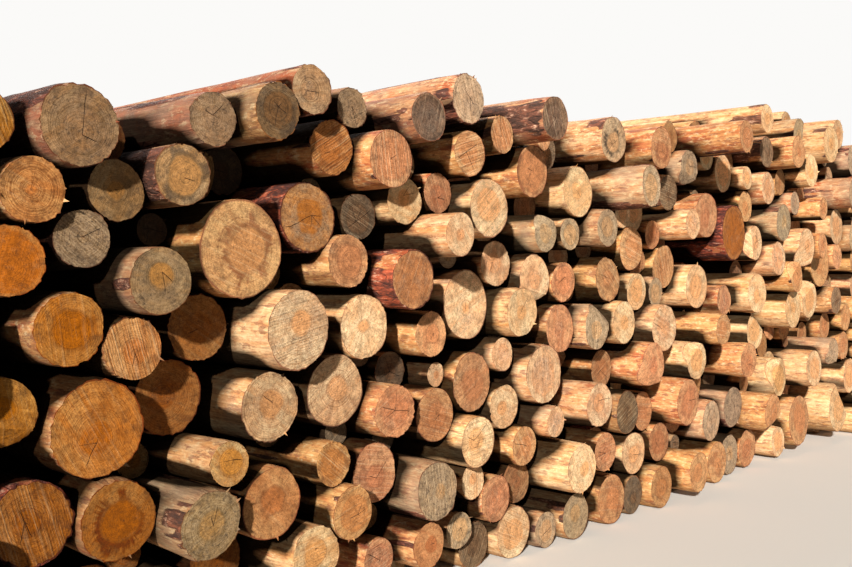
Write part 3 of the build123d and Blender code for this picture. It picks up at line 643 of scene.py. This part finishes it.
def side_wood(name, pale, tan, bast, bark, bark_light, grey, bast_share):
    """The side of a peeled log: fibres along it, strips of inner bark, knots, and bark left on."""
    material, tree = empty_material(name)
    grain, growth, tones = (add(tree, "Attribute", {}, attribute_name=title)[1]
                            for title in ("grain", "growth", "tones"))
    cover = add(tree, "Attribute", {}, attribute_name="bark")[2]
    seed = add(tree, "SeparateXYZ", {0: growth})[2]
    bright, warm, greyed = add(tree, "SeparateXYZ", {0: tones})
    apart = add(tree, "CombineXYZ", {0: seed, 1: seed, 2: seed})[0]
    place = add(tree, "VectorMath", {0: apart, 1: (31, 47, 59), 2: grain},
                operation="MULTIPLY_ADD")[0]
    # Fibres 7 mm wide, where real ones are finer, streaks 4 cm wide, strips of 6 by 25 cm, clouds
    # of 20 cm, and scuffs 24 mm wide and twice as long.
    drawn = add(tree, "VectorMath", {0: place, 1: (1, 1, 0.06)}, operation="MULTIPLY")[0]
    fibres = add(tree, "TexNoise", {"Vector": drawn, "Scale": 150, "Detail": 4,
                                    "Roughness": 0.6})[0]
    streaks = add(tree, "TexNoise", {"Vector": drawn, "Scale": 24, "Detail": 4,
                                     "Roughness": 0.6})[0]
    strips = add(tree, "VectorMath", {0: place, 1: (1, 1, 0.25)}, operation="MULTIPLY")[0]
    strips = add(tree, "TexNoise", {"Vector": strips, "Scale": 16, "Detail": 6, "Roughness": 0.7,
                                    "Distortion": 0.5})[0]
    clouds = add(tree, "TexNoise", {"Vector": place, "Scale": 5, "Detail": 4})[0]
    scuffs = add(tree, "VectorMath", {0: place, 1: (1, 1, 0.5)}, operation="MULTIPLY")[0]
    scuffs = add(tree, "TexNoise", {"Vector": scuffs, "Scale": 42, "Detail": 5,
                                    "Roughness": 0.72})[0]

    # Smooth wood with light and tan streaks, strips of reddish inner bark, shreds of bark 33 mm
    # wide and 11 cm long, and knots. Logs on top of the heap show a little more inner bark.
    tone = add(tree, "MapRange", {0: streaks, 1: 0.36, 2: 0.64})[0]
    colour = add(tree, "Mix", {0: tone, 6: linear(pale), 7: linear(tan)}, data_type="RGBA")[2]
    up_there = add(tree, "TexCoord", {})["Object"]
    up_there = add(tree, "SeparateXYZ", {0: up_there})[2]
    sunned = add(tree, "MapRange", {0: up_there, 1: TOP_OF_HEAP, 2: TOP_OF_HEAP + 0.25, 3: 0,
                                    4: 0.06})[0]
    own_bast = add(tree, "Math", {0: warm, 1: -0.12, 2: strips}, operation="MULTIPLY_ADD")[0]
    own_bast = add(tree, "Math", {0: own_bast, 1: 0.06}, operation="ADD")[0]
    own_bast = add(tree, "Math", {0: own_bast, 1: sunned}, operation="ADD")[0]
    bast_here = add(tree, "MapRange", {0: own_bast, 1: 0.74 - 0.3 * bast_share,
                                       2: 0.84 - 0.3 * bast_share, 3: 0, 4: 0.85})[0]
    scuffed = add(tree, "MapRange", {0: scuffs, 1: 0.5, 2: 0.36, 3: 0, 4: 0.5})[0]
    torn = add(tree, "MapRange", {0: scuffs, 1: 0.54, 2: 0.64, 3: 0, 4: 0.6})[0]
    shreds = add(tree, "VectorMath", {0: place, 1: (1, 1, 0.3)}, operation="MULTIPLY")[0]
    shreds = add(tree, "TexNoise", {"Vector": shreds, "Scale": 30, "Detail": 6,
                                    "Roughness": 0.75})[0]
    shred = add(tree, "MapRange", {0: shreds, 1: 0.54, 2: 0.6, 3: 0, 4: 0.7})[0]
    spots = add(tree, "VectorMath", {0: place, 1: (1, 1, 0.45)}, operation="MULTIPLY")[0]
    # Knots stand about 18 cm apart round the log and 40 cm along it, each 3 cm across.
    knots = add(tree, "TexVoronoi", {"Vector": spots, "Scale": 5.5, "Randomness": 1.0})[0]
    knot = add(tree, "MapRange", {0: knots, 1: 0.1, 2: 0.05, 3: 0, 4: 0.7})[0]
    weather = add(tree, "Math", {0: greyed, 1: 0.5, 2: clouds}, operation="MULTIPLY_ADD")[0]
    weather = add(tree, "MapRange", {0: weather, 1: 0.62, 2: 0.95, 3: 0, 4: 0.7})[0]
    for share, tint in ((bast_here, bast), (scuffed, bast), (torn, "#ecd0a0"), (shred, bark_light),
                        (knot, "#6b3c1e"), (weather, grey)):
        colour = add(tree, "Mix", {0: share, 6: colour, 7: linear(tint)}, data_type="RGBA")[2]

    # Bark left on: flaky plates with pale flecks, ragged where it tore off. The plates are 33 mm
    # wide and three times as long, with their sides bent by a few centimetres, and flakes of 21 mm
    # by 6 cm mottle them.
    stretched = add(tree, "VectorMath", {0: place, 1: (1, 1, 0.35)}, operation="MULTIPLY")[0]
    warp = add(tree, "TexNoise", {"Vector": stretched, "Scale": 25, "Detail": 3})[1]
    warped = add(tree, "VectorMath", {0: warp, 1: (0.05, 0.05, 0.05), 2: stretched},
                 operation="MULTIPLY_ADD")[0]
    plates = add(tree, "TexVoronoi", {"Vector": warped, "Scale": 30}, feature="DISTANCE_TO_EDGE")[0]
    grooves = add(tree, "MapRange", {0: plates, 1: 0.0, 2: 0.12})[0]
    flakes = add(tree, "TexVoronoi", {"Vector": warped, "Scale": 30})[1]
    flakes = add(tree, "SeparateColor", {0: flakes})[0]
    rough_bark = add(tree, "TexNoise", {"Vector": stretched, "Scale": 48, "Detail": 5,
                                        "Roughness": 0.72})[0]
    mottle = add(tree, "Math", {0: flakes, 1: 0.22, 2: rough_bark}, operation="MULTIPLY_ADD")[0]
    mottle = add(tree, "MapRange", {0: mottle, 1: 0.5, 2: 0.74})[0]
    scales = add(tree, "Mix", {0: mottle, 6: linear(bark), 7: linear(bark_light)},
                 data_type="RGBA")[2]
    pale_flake = add(tree, "MapRange", {0: rough_bark, 1: 0.57, 2: 0.66, 3: 0, 4: 0.75})[0]
    scales = add(tree, "Mix", {0: pale_flake, 6: scales, 7: linear("#dcb595")}, data_type="RGBA")[2]
    in_groove = add(tree, "MapRange", {0: grooves, 1: 1, 2: 0, 3: 0, 4: 0.6})[0]
    scales = add(tree, "Mix", {0: in_groove, 6: scales, 7: linear(bark)}, data_type="RGBA")[2]
    ragged = add(tree, "Math", {0: rough_bark, 1: 0.8, 2: cover}, operation="MULTIPLY_ADD")[0]
    bark_here = add(tree, "MapRange", {0: ragged, 1: 0.8, 2: 0.92})[0]
    colour = add(tree, "Mix", {0: bark_here, 6: colour, 7: scales}, data_type="RGBA")[2]
    fleck = add(tree, "MapRange", {0: fibres, 1: 0.3, 2: 0.7, 3: 0.68, 4: 1.28})[0]
    # Painted shade: the sides darken, and lose most of their shine, where they lie deep among
    # neighbouring logs.
    shelter = add(tree, "Attribute", {}, attribute_name="shelter")[2]
    painted_shade = add(tree, "MapRange", {0: shelter, 1: 0.05, 2: 0.45, 3: 1.0, 4: 0.05})[0]
    fleck = add(tree, "Math", {0: fleck, 1: painted_shade}, operation="MULTIPLY")[0]
    value = add(tree, "Math", {0: fleck, 1: bright}, operation="MULTIPLY")[0]
    hue = add(tree, "MapRange", {0: warm, 3: 0.491, 4: 0.502})[0]
    colour = add(tree, "HueSaturation", {0: hue, "Value": value, "Color": colour})[0]

    raised = add(tree, "Math", {0: grooves, 1: rough_bark}, operation="ADD")[0]
    raised = add(tree, "Math", {0: raised, 1: bark_here}, operation="MULTIPLY")[0]
    height = 0.0
    for relief, share in ((fibres, 0.6), (strips, 1.2), (scuffs, 1.5), (shred, 0.7), (knot, 0.8),
                          (raised, 1.6)):
        height = add(tree, "Math", {0: relief, 1: share, 2: height}, operation="MULTIPLY_ADD")[0]
    bump = add(tree, "Bump", {"Strength": 0.8, "Distance": 0.003, "Height": height})[0]
    gloss = add(tree, "Math", {0: painted_shade, 1: 0.25}, operation="MULTIPLY")[0]
    shader = add(tree, "BsdfPrincipled", {"Base Color": colour, "Roughness": 0.8,
                                          "Specular IOR Level": gloss, "Normal": bump})[0]
    add(tree, "OutputMaterial", {0: shader})
    return material


def lay_pieces(look, near_model, far_model, bark_share, looks, end_material, side_material):
    """Replaces every node of one look by a finished piece of the same logs."""
    for order, node in enumerate(sorted(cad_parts)):
        if look in node:
            seed = (order + 1) * 1000       # a run of numbers for each node, one for each log
            piece = heap_piece(node.replace("logs", "wood"), node, near_model, far_model, seed,
                               bark_share, looks, (side_material, end_material))
            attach(piece, "root")
            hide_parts(node)


SAWN_RINGS = (0.08, 0.17, 0.2, 0.2, 0.2)          # rings of faces on an end, from rim to pith
heap = {node: logs_of(node) for node in sorted(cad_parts)}
near_log = plain_log(64, 10, SAWN_RINGS)
far_log = plain_log(38, 10, SAWN_RINGS)

fresh_end = sawn_wood(
    "freshly sawn spruce", sap="#e9c892", heart="#de9c54", late="#b67d44", stain="#9a5620",
    grey="#b9a385", dirt="#8a6c4a", rim="#8f5633", cracked=0.12,
)
fresh_side = side_wood(
    "peeled spruce", pale="#dfb888", tan="#cc935a", bast="#a8643c", bark="#54392c",
    bark_light="#8d5a40", grey="#9c8d76", bast_share=0.45,
)
lay_pieces("fresh", near_log, far_log, 0.12, {"stained": 0.5, "greyed": 0.12},
           fresh_end, fresh_side)


# Amber logs: the same stems cut some weeks earlier, gone orange to honey brown in the sun.
# Their heart is darker than the rim, and resin has run from it into dark spots.
# Their sides keep reddish strips of inner bark along the grain.

amber_end = sawn_wood(
    "honey brown larch", sap="#d39c5c", heart="#c27a38", late="#9a5c28", stain="#8a4a1c",
    grey="#ab8d66", dirt="#6e4a2c", rim="#8a4824", cracked=0.2,
)
amber_side = side_wood(
    "peeled larch", pale="#d6a56a", tan="#be804a", bast="#a0532f", bark="#4b3328",
    bark_light="#86503a", grey="#8c7b65", bast_share=0.6,
)
lay_pieces("amber", near_log, far_log, 0.18, {"stained": 0.8, "greyed": 0.12},
           amber_end, amber_side)


# Weathered logs: ends that lay in rain and sun until they turned grey tan to grey brown.
# Checks have opened from the pith, and only the middle still shows a warm colour.
# Their sides are grey where they saw the weather and tan where they did not.

weathered_end = sawn_wood(
    "weathered pine", sap="#c4a67c", heart="#c69359", late="#8f7048", stain="#3c322a",
    grey="#a68d6e", dirt="#5a4838", rim="#7d4e32", cracked=0.25,
)
weathered_side = side_wood(
    "weathered pine side", pale="#cba377", tan="#b07a4a", bast="#a5592f", bark="#4c352c",
    bark_light="#8a543c", grey="#8f7d67", bast_share=0.4,
)
lay_pieces("weathered", near_log, far_log, 0.28, {"stained": 0.8, "greyed": 0.55},
           weathered_end, weathered_side)


# Dark logs: ends stained brown black by damp and fungus, with open radial checks.
# They are old wood from the bottom of an earlier heap, with an orange rim where bark tore off.
# Their sides are tan under a brown skin and keep some of the bark.

dark_end = sawn_wood(
    "damp stained pine", sap="#94714c", heart="#7c5634", late="#553b22", stain="#241a12",
    grey="#71604d", dirt="#33271e", rim="#9a5828", cracked=0.6,
)
dark_side = side_wood(
    "damp stained pine side", pale="#c2925f", tan="#a56f42", bast="#8f4e2e", bark="#3f2e25",
    bark_light="#7c523c", grey="#83745f", bast_share=0.5,
)
lay_pieces("dark", near_log, far_log, 0.26, {"stained": 1.0, "greyed": 0.4},
           dark_end, dark_side)


# Barked logs: stems that kept their bark, thin flaky plates of red brown over purple brown.
# The plates stand some millimetres proud and break off in ragged patches near the saw cut.
# They get as many points round them as the nearest peeled logs and more along them, to carry
# those plates.

barked_model = plain_log(64, 39, SAWN_RINGS)
barked_end = sawn_wood(
    "sawn larch in bark", sap="#cf9452", heart="#b87630", late="#8f5526", stain="#5a3318",
    grey="#a08c70", dirt="#6e4a2c", rim="#5c2c18", cracked=0.25,
)
barked_side = side_wood(
    "larch bark", pale="#c88d57", tan="#b06a3a", bast="#a14a28", bark="#4f3129",
    bark_light="#b25c38", grey="#7c6c5e", bast_share=0.7,
)
lay_pieces("barked", barked_model, barked_model, 0.72,
           {"stained": 0.6, "greyed": 0.15}, barked_end, barked_side)


# Floor, light and camera: a pale studio with soft light, seen from where the photograph was taken.
# The eye stands beside the near end of the heap, at standing height, and looks along its face.
# Floor and world look pale but send little light on, so that the gaps between logs stay dark.

bpy.ops.object.select_all(action="DESELECT")
bpy.ops.mesh.primitive_plane_add(size=120, location=(0, 0, 0))
floor = bpy.context.object
floor.name = "studio_floor"
floor_paint, floor_tree = empty_material("pale matt floor")
rays = floor_tree.nodes.new("ShaderNodeLightPath").outputs
seen = add(floor_tree, "Math", {0: rays["Is Camera Ray"], 1: rays["Is Glossy Ray"]},
           operation="MAXIMUM")[0]
paint = add(floor_tree, "Mix", {0: seen, 6: linear("#918d86"), 7: linear("#efece6")},
            data_type="RGBA")[2]
paint = add(floor_tree, "BsdfPrincipled", {"Base Color": paint, "Roughness": 0.9})[0]
add(floor_tree, "OutputMaterial", {0: paint})
floor.data.materials.append(floor_paint)

WORLD_LIGHT = 0.07                      # what the world sends on to the logs
world = bpy.data.worlds.new("studio")
bpy.context.scene.world = world
world.use_nodes = True
sky = world.node_tree
sky.nodes.clear()
rays = sky.nodes.new("ShaderNodeLightPath").outputs
seen = add(sky, "Math", {0: rays["Is Camera Ray"], 1: rays["Is Glossy Ray"]},
           operation="MAXIMUM")[0]
seen = add(sky, "Math", {0: seen, 1: rays["Is Transmission Ray"]}, operation="MAXIMUM")[0]
glow = add(sky, "Mix", {0: seen, 2: WORLD_LIGHT, 3: 1.0})[0]
light = add(sky, "Background", {0: linear("#fbfaf8"), 1: glow})[0]
add(sky, "OutputWorld", {0: light})

SUN_STRENGTH = 6.2
SUN_ANGLE = math.radians(2)             # a soft edge to the shadows
SUN_TRAVEL = Vector((0.80, 0.50, -0.34))          # from the near end of the heap across its face
FILL_STRENGTH = 2.2
FILL_ANGLE = math.radians(40)           # a broad fill from behind, so that the back is not dark
FILL_TRAVEL = Vector((-0.5, -0.65, -0.57))
for name, strength, angle, travel, colour in (
    ("key", SUN_STRENGTH, SUN_ANGLE, SUN_TRAVEL, (1.0, 0.955, 0.89)),
    ("fill", FILL_STRENGTH, FILL_ANGLE, FILL_TRAVEL, (1.0, 0.98, 0.95)),
):
    sun_data = bpy.data.lights.new(name, "SUN")
    sun_data.energy = strength
    sun_data.angle = angle
    sun_data.color = colour
    sun = bpy.data.objects.new(name, sun_data)
    sun.rotation_euler = travel.to_track_quat("-Z", "Y").to_euler()
    bpy.context.scene.collection.objects.link(sun)

EYE = Vector((-5.409, -4.078, 1.60))
AZIMUTH = math.radians(47.29)           # of the look, from straight at the face towards its far end
PITCH = math.radians(-0.96)
SENSOR_WIDTH = 36                       # mm
LENS = 39.1                             # mm
look = Vector((math.sin(AZIMUTH) * math.cos(PITCH), math.cos(AZIMUTH) * math.cos(PITCH),
               math.sin(PITCH)))
camera_data = bpy.data.cameras.new("eye")
camera_data.sensor_width = SENSOR_WIDTH
camera_data.lens = LENS
camera_data.clip_end = 200
camera = bpy.data.objects.new("eye", camera_data)
camera.location = EYE
camera.rotation_euler = look.to_track_quat("-Z", "Y").to_euler()
bpy.context.scene.collection.objects.link(camera)
bpy.context.scene.camera = camera
